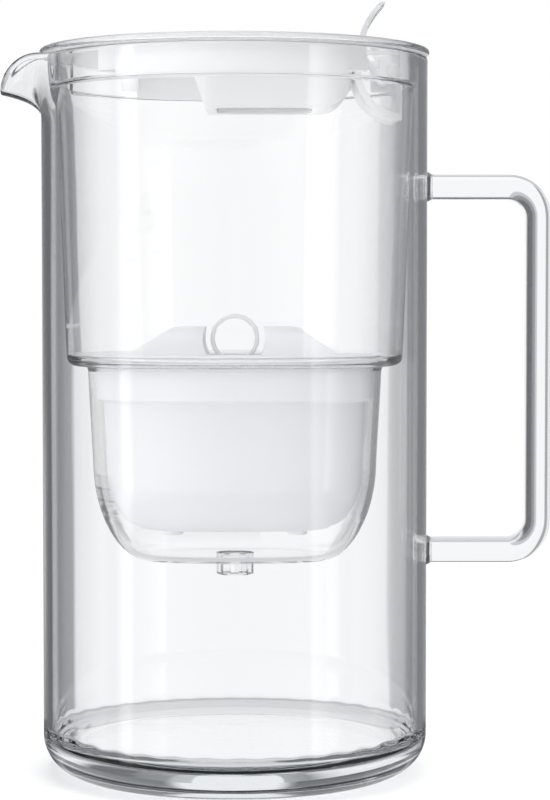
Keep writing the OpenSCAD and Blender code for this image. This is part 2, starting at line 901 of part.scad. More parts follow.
// The flip panel, its two arms and the stub pins that snap into the bearings
module flap() {
    axis = [hinge_x, hinge_z];
    reach = [flap_back_x, flap_z + flap_t / 2] - axis;
    side = [reach[1], -reach[0]] / norm(reach);
    arm = [
        axis + side * boss_r / 3, axis - side * boss_r,
        [flap_back_x, flap_z], [flap_back_x - flap_t, flap_z],
        [flap_back_x - flap_t, flap_top], [flap_back_x, flap_top]
    ];
    color("white") {
        translate([0, 0, flap_z])
            linear_extrude(flap_t)
                round_rect(
                    chute_front_x - flap_margin, -chute_w / 2 - flap_margin,
                    flap_back_x, chute_w / 2 + flap_margin, flap_corner_r
                );
        for (y = [-1, 1]) {
            across(arm_t, y * (arms_span - arm_t) / 2) {
                polygon(arm);
                translate([hinge_x, hinge_z])
                    circle(boss_r);
            }
            across(bearing_t + arm_gap + arm_t / 2, y * (bearing_y - (arm_gap + arm_t / 2) / 2))
                translate([hinge_x, hinge_z])
                    circle(d = pin_d);
        }
    }
}

// The curved blade that the thumb pushes back
module thumb_tab() {
    foot = [tab_x, flap_top];
    steps = 12;
    curve = [for (i = [0:steps]) foot + [tab_lean * pow(i / steps, 1.7), tab_h * pow(i / steps, 0.92)]];
    far = [for (i = [steps:-1:0]) curve[i] + tab_t * [1.5 - 0.6 * i / steps, -0.3 * i / steps]];
    color("gainsboro")
        intersection() {
            across(tab_w)
                polygon(concat(curve, far));
            rotate([90, 0, 90])
                linear_extrude(jug_d)
                    round_rect(
                        -tab_w / 2, flap_top - 2 * tab_corner_r,
                        tab_w / 2, flap_top + tab_h, tab_corner_r
                    );
        }
}

// Soft strip under the flap, round the chute's mouth
module flap_seal() {
    color("gainsboro")
        translate([0, 0, plate_top])
            linear_extrude(flap_seal_t)
                difference() {
                    chute_plan(-seal_out);
                    chute_plan(seal_w - seal_out);
                }
}

glass_jug();
handle();
rim_gasket();
funnel();
cartridge_shell();
cartridge_cap();
pull_ring();
lip_seal();
inlet_screen();
felt_pad();
filter_media();
outlet_screen();
lid_frame();
flap();
thumb_tab();
flap_seal();
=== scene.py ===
"""Glass water filter pitcher with a flip lid: its looks, studio and camera.

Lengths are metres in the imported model's frame: the base stands on the XY plane, the spout points
to -X, the handle to +X, and the camera stands on the -Y side.
"""

import logging
import math
from dataclasses import dataclass, field
from enum import Enum
from typing import Any, Sequence

import bmesh
import bpy
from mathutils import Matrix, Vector

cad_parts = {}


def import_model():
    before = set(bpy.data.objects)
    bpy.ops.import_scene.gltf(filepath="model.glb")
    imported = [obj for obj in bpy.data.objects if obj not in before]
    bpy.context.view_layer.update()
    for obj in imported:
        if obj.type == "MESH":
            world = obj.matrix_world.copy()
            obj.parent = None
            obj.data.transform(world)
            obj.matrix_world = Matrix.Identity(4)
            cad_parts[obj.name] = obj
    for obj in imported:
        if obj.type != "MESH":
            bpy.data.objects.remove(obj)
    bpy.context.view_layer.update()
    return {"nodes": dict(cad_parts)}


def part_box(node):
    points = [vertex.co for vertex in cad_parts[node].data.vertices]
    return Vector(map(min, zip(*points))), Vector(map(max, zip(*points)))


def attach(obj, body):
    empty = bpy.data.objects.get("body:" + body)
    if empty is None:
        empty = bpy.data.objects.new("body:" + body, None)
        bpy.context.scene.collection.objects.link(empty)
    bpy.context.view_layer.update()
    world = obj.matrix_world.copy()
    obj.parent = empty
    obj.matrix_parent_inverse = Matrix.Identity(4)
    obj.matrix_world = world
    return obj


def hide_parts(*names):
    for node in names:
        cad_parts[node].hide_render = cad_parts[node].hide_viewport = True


LOG = logging.getLogger("pitcher")
MM = 0.001
Ring = list[Vector]
Outline = list[tuple[float, float]]
Strips = tuple[tuple[float, float], ...]


class Body(Enum):
    """The bodies that move against each other, by their names in the frame."""

    JUG = "jug"
    FUNNEL = "funnel"
    CARTRIDGE = "cartridge"
    LID = "lid"
    FLAP = "flap"


def srgb(hex_colour: str, alpha: float = 1.0) -> tuple[float, float, float, float]:
    """Turns an sRGB hex colour into linear light.

    Args:
        hex_colour: six hex digits.
        alpha: the opacity to add.

    Returns:
        Linear red, green, blue and alpha.
    """
    values = [int(hex_colour[i : i + 2], 16) / 255 for i in (0, 2, 4)]
    linear = [v / 12.92 if v <= 0.04045 else ((v + 0.055) / 1.055) ** 2.4 for v in values]
    return linear[0], linear[1], linear[2], alpha


def add_node(
    tree: bpy.types.NodeTree, kind: str, inputs: dict[Any, Any] | None = None, **settings: Any
) -> bpy.types.Node:
    """Adds one node with its settings, values and links.

    Args:
        tree: the tree that gets the node.
        kind: the node's type name.
        inputs: input name or number to a value, or to the output socket that feeds it.
        settings: the node's own properties.

    Returns:
        The new node.
    """
    node = tree.nodes.new(kind)
    for name, value in settings.items():
        setattr(node, name, value)
    for key, value in (inputs or {}).items():
        if isinstance(value, bpy.types.NodeSocket):
            tree.links.new(value, node.inputs[key])
        else:
            node.inputs[key].default_value = value
    return node


@dataclass(frozen=True)
class Finish:
    """A plain-value Principled surface with a fine bump from noise on Object coordinates.

    Attributes:
        name: the real material and how its surface was made.
        colour: sRGB hex of its body colour.
        roughness: how much its gloss spreads.
        ior: index of refraction.
        transmission: share of light that goes through it.
        subsurface: share of light that spreads inside it.
        scatter: distance over which light spreads inside it.
        grain: real size of the surface's texture.
        stretch: how much longer the texture is along Z than across.
        depth: height of the texture.
        tone: how much the colour varies over the texture, from 0 to 1.
        absorb: sRGB hex that thick glass tends to, or an empty string.
        density: how fast thick glass tends to that colour, per metre.
    """

    name: str
    colour: str
    roughness: float
    ior: float = 1.5
    transmission: float = 0.0
    subsurface: float = 0.0
    scatter: float = 0.002
    grain: float = 0.002
    stretch: float = 1.0
    depth: float = 0.00002
    tone: float = 0.0
    absorb: str = ""
    density: float = 0.0

    def material(self) -> bpy.types.Material:
        """Makes the material once, and then shares it.

        Returns:
            The material.
        """
        made = bpy.data.materials.get(self.name)
        if made is not None:
            return made
        made = bpy.data.materials.new(self.name)
        made.use_nodes = True
        tree = made.node_tree
        tree.nodes.clear()
        place = add_node(tree, "ShaderNodeTexCoord").outputs["Object"]
        scale = (1.0, 1.0, 1.0 / self.stretch)
        mapping = add_node(tree, "ShaderNodeMapping", {"Vector": place, "Scale": scale})
        noise = self.pattern(tree, mapping.outputs["Vector"])
        bump = add_node(tree, "ShaderNodeBump", {"Strength": 1.0, "Distance": self.depth, "Height": noise})
        values = {
            "Base Color": srgb(self.colour), "Roughness": self.roughness, "IOR": self.ior,
            "Transmission Weight": self.transmission, "Subsurface Weight": self.subsurface,
            "Subsurface Radius": (self.scatter, self.scatter, self.scatter), "Subsurface Scale": 1.0,
            "Normal": bump.outputs["Normal"],
        }
        shader = add_node(tree, "ShaderNodeBsdfPrincipled", values)
        if self.tone > 0:
            tree.links.new(self.toned(tree, noise), shader.inputs["Base Color"])
        out = add_node(tree, "ShaderNodeOutputMaterial", {"Surface": shader.outputs["BSDF"]})
        if self.absorb:
            tint = {"Color": srgb(self.absorb), "Density": self.density}
            volume = add_node(tree, "ShaderNodeVolumeAbsorption", tint)
            tree.links.new(volume.outputs["Volume"], out.inputs["Volume"])
        return made

    def pattern(self, tree: bpy.types.NodeTree, place: bpy.types.NodeSocket) -> bpy.types.NodeSocket:
        """Returns the height of the surface's texture, from 0 to 1."""
        values = {"Vector": place, "Scale": 1.0 / self.grain, "Detail": 2.0}
        return add_node(tree, "ShaderNodeTexNoise", values).outputs["Fac"]

    def toned(self, tree: bpy.types.NodeTree, height: bpy.types.NodeSocket) -> bpy.types.NodeSocket:
        """Darkens the body colour in the texture's low places.

        Args:
            tree: the material's tree.
            height: the texture's height, from 0 to 1.

        Returns:
            The colour.
        """
        low = tuple(channel * (1.0 - self.tone) for channel in srgb(self.colour)[:3]) + (1.0,)
        mix = add_node(tree, "ShaderNodeMix", {0: height, 6: low, 7: srgb(self.colour)}, data_type="RGBA")
        return mix.outputs[2]


@dataclass(frozen=True)
class WovenFinish(Finish):
    """A finish with threads that cross at right angles, for the cartridge's mesh screens.

    Attributes:
        bands: how many bands the wave texture draws in a length of one unit of its scale.
    """

    bands: float = 20.0

    def pattern(self, tree: bpy.types.NodeTree, place: bpy.types.NodeSocket) -> bpy.types.NodeSocket:
        """Lays two sets of threads across each other.

        Args:
            tree: the material's tree.
            place: the place on the piece.

        Returns:
            The height of the threads, from 0 to 1.
        """
        values = {"Vector": place, "Scale": 1.0 / self.grain / self.bands}
        along = add_node(tree, "ShaderNodeTexWave", values, bands_direction="X").outputs["Fac"]
        across = add_node(tree, "ShaderNodeTexWave", values, bands_direction="Y").outputs["Fac"]
        return add_node(tree, "ShaderNodeMath", {0: along, 1: across}, operation="MAXIMUM").outputs[0]


@dataclass(frozen=True)
class BeadFinish(Finish):
    """A finish of packed round grains, for the filter bed."""

    def pattern(self, tree: bpy.types.NodeTree, place: bpy.types.NodeSocket) -> bpy.types.NodeSocket:
        """Returns the rounded cell height of each grain."""
        cells = add_node(tree, "ShaderNodeTexVoronoi", {"Vector": place, "Scale": 1.0 / self.grain})
        return cells.outputs["Distance"]


# Drawn borosilicate tube: colourless, with faint waves along the draw that bend what lies behind
GLASS = Finish(
    "borosilicate_glass_drawn", "FFFFFF", 0.0, ior=1.473, transmission=1.0,
    grain=0.03, stretch=9.0, depth=0.00012, absorb="B9C6CE", density=2.0,
)
# Injection-moulded copolyester: clear and hard, a little greyer and softer in gloss than glass
CLEAR = Finish(
    "copolyester_clear_moulded", "FFFFFF", 0.0, ior=1.5, transmission=1.0,
    grain=0.012, stretch=3.0, depth=0.00002, absorb="D5DCE0", density=4.0,
)
# Moulded polypropylene: waxy white that lets light spread a few millimetres inside it
WHITE = Finish(
    "polypropylene_white_moulded", "F0F1F3", 0.3, ior=1.49, subsurface=0.15, scatter=0.003,
    grain=0.0006, depth=0.000008, tone=0.02,
)
# Milkier grade of the same plastic for the lid, which lets some light through where it is thin
MILKY = Finish(
    "polypropylene_milky_moulded", "FDFDFE", 0.25, ior=1.49, transmission=0.04, subsurface=0.1,
    scatter=0.003, grain=0.0006, depth=0.000008, tone=0.02,
)
# The same plastic moulded thin: frosted, and light comes through it
FROSTED = Finish(
    "polypropylene_frosted_thin", "F1F2F4", 0.35, ior=1.49, transmission=0.45,
    grain=0.0008, depth=0.00001, tone=0.03,
)
# Milky soft silicone, matte to the eye
SILICONE = Finish(
    "silicone_milky_matte", "E9ECEC", 0.55, ior=1.41, transmission=0.5, subsurface=0.1, scatter=0.002,
    grain=0.0008, depth=0.00001, tone=0.03,
)
# Polyester screen, drawn as coarse as 0.6 mm so that its weave shows
SCREEN = WovenFinish("polyester_mesh_woven", "DADCDC", 0.6, grain=0.0006, depth=0.0001, tone=0.5)
# Pressed felt: matte, with soft clumps of fibre
FELT = Finish("polyester_felt_pressed", "F0EFEA", 0.95, grain=0.0015, depth=0.0002, tone=0.12)
# Carbon and resin beads of about 0.8 mm, packed
BEADS = BeadFinish("carbon_resin_beads", "4A443C", 0.6, grain=0.0008, depth=0.0003, tone=0.6)
# Matte studio paper
PAPER = Finish("studio_paper_matte", "FBFBFB", 0.9, grain=0.004, depth=0.00001, tone=0.005)


def arc(
    x: float, z: float, r: float, start: float, end: float, steps: int = 8, rise: float = 0.0
) -> Outline:
    """Returns points along an arc.

    Args:
        x: the middle's distance from the axis.
        z: the middle's height.
        r: the radius.
        start: where it starts, in degrees.
        end: where it ends, in degrees.
        steps: how many chords it has.
        rise: the radius along Z, if the arc is flattened.

    Returns:
        The points.
    """
    angles = [math.radians(start + (end - start) * i / steps) for i in range(steps + 1)]
    return [(x + r * math.cos(a), z + (rise or r) * math.sin(a)) for a in angles]


def circle_ring(r: float, z: float, count: int) -> Ring:
    """Makes one level round ring of points.

    Args:
        r: the radius.
        z: the height.
        count: how many points it has.

    Returns:
        The points, or a single point on the axis.
    """
    if r < 1e-7:
        return [Vector((0.0, 0.0, z))]
    angles = [2 * math.pi * i / count for i in range(count)]
    return [Vector((r * math.cos(a), r * math.sin(a), z)) for a in angles]


def oval_ring(half_w: float, half_d: float, z: float, count: int, power: float = 2.5) -> Ring:
    """Makes one level oval ring of points, squarer than an ellipse as the cartridge is.

    Args:
        half_w: half its size along X.
        half_d: half its size along Y.
        z: the height.
        count: how many points it has.
        power: 2 gives an ellipse, and more than 2 a squarer oval.

    Returns:
        The points, or a single point on the axis.
    """
    if half_w < 1e-7:
        return [Vector((0.0, 0.0, z))]
    ring = []
    for i in range(count):
        a = 2 * math.pi * i / count
        c, s = math.cos(a), math.sin(a)
        stretch = (abs(c) ** power + abs(s) ** power) ** (-1 / power)
        ring.append(Vector((half_w * c * stretch, half_d * s * stretch, z)))
    return ring


def with_supports(rings: Sequence[Ring], hold: float = 0.25 * MM, over: float = 4.0 * MM) -> list[Ring]:
    """Adds a row close to both ends of every long face, so that straight walls refract as flat glass.

    Args:
        rings: the rows of the surface.
        hold: distance of an added row from the corner it supports.
        over: faces shorter than this are part of a curve and stay as they are.

    Returns:
        The rows with their supports.
    """
    rows = [rings[0]]
    for low, high in zip(rings, rings[1:]):
        span = max((a - b).length for a, b in zip(low, high))
        if len(low) == len(high) > 1 and span > over:
            rows.append([a.lerp(b, hold / span) for a, b in zip(low, high)])
            rows.append([b.lerp(a, hold / span) for a, b in zip(low, high)])
        rows.append(high)
    return rows


def stitch(work: bmesh.types.BMesh, rings: Sequence[Ring], closed: bool = False) -> None:
    """Adds the faces between rings of points.

    Args:
        work: the mesh that gets the faces.
        rings: rings of equal length, or single points where the surface closes.
        closed: True if the last ring joins the first.
    """
    rows = [[work.verts.new(point) for point in ring] for ring in rings]
    pairs = list(zip(rows, rows[1:])) + ([(rows[-1], rows[0])] if closed else [])
    for low, high in pairs:
        count = max(len(low), len(high))
        for i in range(count):
            j = (i + 1) % count
            corners = [low[i % len(low)], low[j % len(low)], high[j % len(high)], high[i % len(high)]]
            unique = list(dict.fromkeys(corners))
            if len(unique) > 2:
                work.faces.new(unique)


def skin(
    name: str, rings: Sequence[Ring], finish: Finish, closed: bool = False, sharp: float = 40.0
) -> bpy.types.Object:
    """Joins rings of points into one smooth closed surface.

    Args:
        name: the piece's name.
        rings: rings of equal length, or single points where the surface closes.
        finish: what the piece is made of.
        closed: True if the last ring joins the first.
        sharp: edges over this angle, in degrees, stay crisp.

    Returns:
        The new object.
    """
    mesh = bpy.data.meshes.new(name)
    work = bmesh.new()
    stitch(work, with_supports(rings), closed)
    bmesh.ops.recalc_face_normals(work, faces=work.faces)
    work.to_mesh(mesh)
    work.free()
    return dress(link(name, mesh), finish, sharp)


def link(name: str, mesh: bpy.types.Mesh) -> bpy.types.Object:
    """Puts a mesh in the scene as an object at the origin.

    Args:
        name: the object's name.
        mesh: its mesh.

    Returns:
        The new object.
    """
    made = bpy.data.objects.new(name, mesh)
    bpy.context.scene.collection.objects.link(made)
    return made


def dress(piece: bpy.types.Object, finish: Finish, sharp: float = 40.0) -> bpy.types.Object:
    """Gives a piece its material and smooth shading with crisp edges.

    Args:
        piece: the piece to dress.
        finish: what it is made of.
        sharp: edges over this angle, in degrees, stay crisp.

    Returns:
        The same object.
    """
    mesh = piece.data
    mesh.materials.clear()
    mesh.materials.append(finish.material())
    mesh.polygons.foreach_set("use_smooth", [True] * len(mesh.polygons))
    mesh.set_sharp_from_angle(angle=math.radians(sharp))
    return piece


def bake_modifiers(piece: bpy.types.Object) -> bpy.types.Object:
    """Turns a piece and its modifiers into a plain mesh.

    Args:
        piece: the piece with its modifiers.

    Returns:
        The same object.
    """
    graph = bpy.context.evaluated_depsgraph_get()
    mesh = bpy.data.meshes.new_from_object(piece.evaluated_get(graph))
    piece.modifiers.clear()
    old = piece.data
    piece.data = mesh
    bpy.data.meshes.remove(old)
    return piece


def softened_copy(node: bpy.types.Object, name: str, finish: Finish, edge: float) -> bpy.types.Object:
    """Copies a CAD node, merges its loose triangles and rounds its edges.

    Args:
        node: the CAD node.
        name: the new piece's name.
        finish: what the piece is made of.
        edge: the radius of the moulded edges.

    Returns:
        The new object.
    """
    mesh = node.data.copy()
    work = bmesh.new()
    work.from_mesh(mesh)
    bmesh.ops.remove_doubles(work, verts=work.verts, dist=0.00001)
    bmesh.ops.dissolve_limit(work, angle_limit=math.radians(0.5), verts=work.verts, edges=work.edges)
    work.to_mesh(mesh)
    work.free()
    mesh.name = name
    piece = link(name, mesh)
    bevel = piece.modifiers.new("moulded_edges", "BEVEL")
    bevel.width = edge
    bevel.segments = 2
    bevel.limit_method = "ANGLE"
    bevel.angle_limit = math.radians(40.0)
    bevel.use_clamp_overlap = True
    return dress(bake_modifiers(piece), finish, 35.0)


def finish_piece(piece: bpy.types.Object, body: Body, slot: str, *nodes: str) -> None:
    """Says which body a piece rides on, and hides the CAD nodes that it replaces.

    Args:
        piece: the finished piece.
        body: the body it rides on.
        slot: not used.
        nodes: the CAD nodes that it replaces.
    """
    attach(piece, body.value)
    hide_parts(*nodes)
    LOG.info("%s rides on %s, %d faces", piece.name, body.value, len(piece.data.polygons))


@dataclass(frozen=True)
class SlotRow:
    """A row of equal slots along X, cut through a moulded floor.

    Attributes:
        count: how many slots.
        pitch: distance from slot to slot.
        width: size of a slot along X.
        length: size of a slot along Y.
        low: where the cut starts.
        high: where the cut ends.
    """

    count: int
    pitch: float
    width: float
    length: float
    low: float
    high: float

    def tree(self) -> bpy.types.NodeTree:
        """Makes the node tree that cuts the slots once, and then shares it.

        Returns:
            The node tree.
        """
        name = "slot_row"
        made = bpy.data.node_groups.get(name)
        if made is not None:
            return made
        made = bpy.data.node_groups.new(name, "GeometryNodeTree")
        made.interface.new_socket("Geometry", in_out="OUTPUT", socket_type="NodeSocketGeometry")
        kinds = {
            "Geometry": "Geometry", "Count": "Int", "Start": "Vector", "Pitch": "Vector", "Slot": "Vector",
            "Material": "Material",
        }
        for label, kind in kinds.items():
            made.interface.new_socket(label, in_out="INPUT", socket_type=f"NodeSocket{kind}")
        given = add_node(made, "NodeGroupInput").outputs
        places = add_node(made, "GeometryNodeMeshLine", {
            "Count": given["Count"], "Start Location": given["Start"], "Offset": given["Pitch"],
        }).outputs["Mesh"]
        slot = add_node(made, "GeometryNodeMeshCube", {"Size": given["Slot"]}).outputs["Mesh"]
        pair = {"Points": places, "Instance": slot}
        row = add_node(made, "GeometryNodeInstanceOnPoints", pair).outputs[0]
        pair = {0: given["Geometry"], 1: row}
        cut = add_node(made, "GeometryNodeMeshBoolean", pair, operation="DIFFERENCE").outputs[0]
        real = add_node(made, "GeometryNodeRealizeInstances", {"Geometry": cut}).outputs[0]
        pair = {"Geometry": real, "Material": given["Material"]}
        dressed = add_node(made, "GeometryNodeSetMaterial", pair).outputs[0]
        add_node(made, "NodeGroupOutput", {"Geometry": dressed})
        return made

    def cut(self, piece: bpy.types.Object, finish: Finish) -> bpy.types.Object:
        """Cuts the slots through a piece.

        Args:
            piece: the piece to cut.
            finish: what the piece is made of.

        Returns:
            The same object with the slots in its mesh.
        """
        tree = self.tree()
        values = {
            "Count": self.count,
            "Start": (-self.pitch * (self.count - 1) / 2, 0.0, (self.low + self.high) / 2),
            "Pitch": (self.pitch, 0.0, 0.0),
            "Slot": (self.width, self.length, self.high - self.low),
            "Material": finish.material(),
        }
        modifier = piece.modifiers.new("slots", "NODES")
        modifier.node_group = tree
        for socket in tree.interface.items_tree:
            if socket.in_out == "INPUT" and socket.name in values:
                modifier[socket.identifier] = values[socket.name]
        return dress(bake_modifiers(piece), finish)


@dataclass
class GlassJug:
    """The blown cylinder with its heavy base and drawn spout.

    Attributes:
        spout_span: half the angle of the wall that the spout takes.
        flare: how late the spout leans out, at its sides, and how much later in its middle.
        tip_round: how softly the rim falls towards the tip, as a share of the reach.
        tip_inset: how far the mesh's tip stays inside the solid's.
        slow_wave: size and count of the slower of the two waves round the floor's corner.
        wall_rows: heights of the rows on the plain wall, as shares of its height.
        floor_row: place of the row on the flat base, as a share of the radius.
    """

    wall: float = 3.0 * MM
    lip_wall: float = 2.4 * MM
    base: float = 12.0 * MM
    corner: float = 13.3 * MM
    floor_corner: float = 5.0 * MM
    spout_span: float = math.radians(25.0)
    spout_root: float = 21.5 * MM
    spout_drop: float = 11.2 * MM
    flare: tuple[float, float] = (2.2, 1.6)
    rise: float = 0.1
    tip_round: float = 0.16
    tip_inset: float = 0.75 * MM
    lip_round: float = 0.9 * MM
    lip_rows: int = 8
    spout_rows: int = 24
    base_wave: float = 0.08 * MM
    base_waves: int = 36
    slow_wave: tuple[float, int] = (0.4, 7)
    wall_rows: tuple[float, ...] = (0.3, 0.55, 0.8)
    floor_row: float = 0.4
    count: int = 288
    radius: float = field(init=False)
    rim: float = field(init=False)
    reach: float = field(init=False)

    def __post_init__(self) -> None:
        """Takes the jug's radius, rim and spout from the frame."""
        low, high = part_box("glass_jug")
        self.radius = high.y
        self.rim = high.z - self.lip_round
        self.reach = -low.x - self.radius - self.tip_inset

    def bell(self, turn: float) -> tuple[float, float]:
        """Returns how far an angle is from the spout's middle, and how much spout there is there."""
        away = abs((turn % (2 * math.pi)) - math.pi) / self.spout_span
        return away, (1 - away**2) ** 2 if away < 1 else 0.0

    def spout_point(self, turn: float, h: float) -> Vector:
        """Returns a point on the outside near the rim, drawn out where the spout is.

        Args:
            turn: the angle round the jug.
            h: the height, from 0 at the spout's root to 1 at the rim.

        Returns:
            The point.
        """
        away, bell = self.bell(turn)
        rim_r = self.radius + self.reach * bell
        beyond = (rim_r * math.cos(away * self.spout_span) - self.radius) / self.reach
        beyond = min(max(beyond, 0.0), 1.0)
        soft = self.tip_round
        fall = (math.sqrt(1 - beyond**2 + soft**2) - soft) / (math.sqrt(1 + soft**2) - soft)
        rim_z = self.rim - self.spout_drop * (1 - fall)
        low = self.rim - self.spout_root
        r = self.radius + (rim_r - self.radius) * h ** (self.flare[0] + self.flare[1] * bell)
        z = low + (rim_z - low) * h ** (1 + self.rise * bell)
        return Vector((r * math.cos(turn), r * math.sin(turn), z))

    def spout_frame(self, turn: float, h: float) -> tuple[Vector, Vector, Vector]:
        """Finds which way the wall faces at a point near the rim.

        Args:
            turn: the angle round the jug.
            h: the height, from 0 at the spout's root to 1 at the rim.

        Returns:
            The point, its outward direction and its upward direction.
        """
        step = 1e-4
        point = self.spout_point(turn, h)
        up = (self.spout_point(turn, h + step) - self.spout_point(turn, max(0.0, h - step))).normalized()
        along = self.spout_point(turn + step, h) - self.spout_point(turn - step, h)
        return point, along.cross(up).normalized(), up

    def thickness(self, turn: float, h: float) -> float:
        """Returns the wall's thickness, which thins towards the spout's lip."""
        return self.wall + (self.lip_wall - self.wall) * self.bell(turn)[1] * h

    def body(self) -> bpy.types.Object:
        """Builds the jug as one closed shell of glass.

        Returns:
            The jug's object.
        """
        turns = [2 * math.pi * i / self.count for i in range(self.count)]
        levels = [i / self.spout_rows for i in range(self.spout_rows + 1)]
        low = self.rim - self.spout_root
        outside = [(0.0, 0.0), (self.radius * self.floor_row, 0.0)]
        outside += arc(self.radius - self.corner, self.corner, self.corner, -90, 0, 16)
        outside += [(self.radius, low * f) for f in self.wall_rows]
        inner_r = self.radius - self.wall
        inside = [(inner_r, low * f) for f in reversed(self.wall_rows)]
        soft = self.floor_corner
        inside += arc(inner_r - soft, self.base + soft, soft, 0, -90, 16)
        inside += [(self.radius * self.floor_row, self.base), (0.0, self.base)]
        rings = [circle_ring(r, z, self.count) for r, z in outside]
        rings += [[self.spout_point(t, h) for t in turns] for h in levels]
        frames = [self.spout_frame(t, 1.0) for t in turns]
        for i in range(1, self.lip_rows):
            a = math.pi * i / self.lip_rows
            rings.append([
                p - n * (self.thickness(t, 1.0) / 2) * (1 - math.cos(a)) + u * self.lip_round * math.sin(a)
                for t, (p, n, u) in zip(turns, frames)
            ])
        for h in reversed(levels):
            ring = []
            for t in turns:
                p, n, _ = self.spout_frame(t, h)
                ring.append(p - n * self.thickness(t, h))
            rings.append(ring)
        rings += [self.waved(circle_ring(r, z, self.count), z) for r, z in inside]
        return skin("jug_glass", rings, GLASS)

    def waved(self, ring: Ring, z: float) -> Ring:
        """Adds the slow mould waves that glass has round its inner floor corner.

        Args:
            ring: a ring of the inside.
            z: its height.

        Returns:
            The ring with its waves.
        """
        rise = (z - self.base) / self.floor_corner
        share = max(0.0, 4 * rise * (1 - rise))
        if share == 0 or len(ring) < 2:
            return ring
        waved = []
        size, waves = self.slow_wave
        for point in ring:
            turn = math.atan2(point.y, point.x)
            wave = math.sin(self.base_waves * turn) + size * math.sin(waves * turn + 1.0)
            inward = 1 - self.base_wave * share * wave / point.xy.length
            waved.append(Vector((point.x * inward, point.y * inward, z + self.base_wave * share * wave)))
        return waved


@dataclass
class GlassHandle:
    """The solid D handle, bent from one bar and fused to the wall.

    Attributes:
        bead: how far the weld stands proud of the bar.
        bead_length: how fast the weld fades along the arm.
        sink: how far the bar's end reaches into the wall.
        marks: places of the rows near a wall, from the wall.
        away: what the path gives as the distance to a wall where no wall is near.
    """

    thick: float = 8.3 * MM
    wide: float = 12.5 * MM
    edge: float = 3.4 * MM
    bend: float = 10.2 * MM
    bead: float = 0.8 * MM
    bead_length: float = 1.0 * MM
    sink: float = 0.02 * MM
    marks: tuple[float, ...] = (0.0, 0.35, 0.7, 1.05, 1.4, 1.9, 2.5, 3.3, 4.5)
    arm_rows: tuple[float, float] = (0.4, 0.7)
    bend_step: int = 6
    away: float = 1.0
    low_z: float = field(init=False)
    high_z: float = field(init=False)
    bar_x: float = field(init=False)
    wall_r: float = field(init=False)

    def __post_init__(self) -> None:
        """Takes the arms' heights and the upright's place from the frame."""
        low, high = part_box("handle")
        self.low_z = low.z + self.thick / 2 + self.bead
        self.high_z = high.z - self.thick / 2 - self.bead
        self.bar_x = high.x - self.thick / 2
        self.wall_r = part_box("glass_jug")[1].y

    def section(self, grow: float) -> Outline:
        """Draws the bar's outline, across and along its width.

        Args:
            grow: how far a weld bead stands proud of it.

        Returns:
            The points.
        """
        x, y, r = self.wide / 2 + grow, self.thick / 2 + grow, self.edge + grow * 0.5
        corners = ((x - r, y - r, 0), (r - x, y - r, 90), (r - x, r - y, 180), (x - r, r - y, 270))
        return [p for cx, cy, a in corners for p in arc(cx, cy, r, a, a + 90, 8)]

    def path(self) -> list[tuple[float, float, float, float]]:
        """Lays out the bar's middle from one weld to the other.

        Returns:
            Rows of x, z, heading in degrees and distance from the nearest wall.
        """
        start = self.wall_r
        straight = self.bar_x - self.bend
        lower = [(start + m * MM, self.low_z, 0.0, m * MM) for m in self.marks]
        lower += [(start + (straight - start) * f, self.low_z, 0.0, self.away) for f in self.arm_rows]
        turn_low = [
            (straight + self.bend * math.sin(math.radians(a)),
             self.low_z + self.bend * (1 - math.cos(math.radians(a))), float(a), self.away)
            for a in range(0, 91, self.bend_step)
        ]
        middle = (self.low_z + self.high_z) / 2
        half = lower + turn_low
        upper = [(x, 2 * middle - z, 180.0 - heading, far) for x, z, heading, far in reversed(half)]
        return half + upper

    def build(self) -> bpy.types.Object:
        """Sweeps the bar along its path, with a swell of glass at each wall.

        Returns:
            The handle's object.
        """
        rings = []
        for x, z, heading, far in self.path():
            grow = self.bead * math.exp(-((far / self.bead_length) ** 2)) if far < self.away else 0.0
            a = math.radians(heading)
            ring = []
            for across, up in self.section(grow):
                point = Vector((x - up * math.sin(a), across, z + up * math.cos(a)))
                if far < self.away:
                    point.x = math.sqrt(self.wall_r**2 - across**2) + far - self.sink * (far == 0.0)
                ring.append(point)
            rings.append(ring)
        ends = [[sum(ring, Vector()) / len(ring)] for ring in (rings[0], rings[-1])]
        for end in ends:
            end[0].x = self.wall_r - self.sink
        return skin("handle_glass", [ends[0], *rings, ends[1]], GLASS)


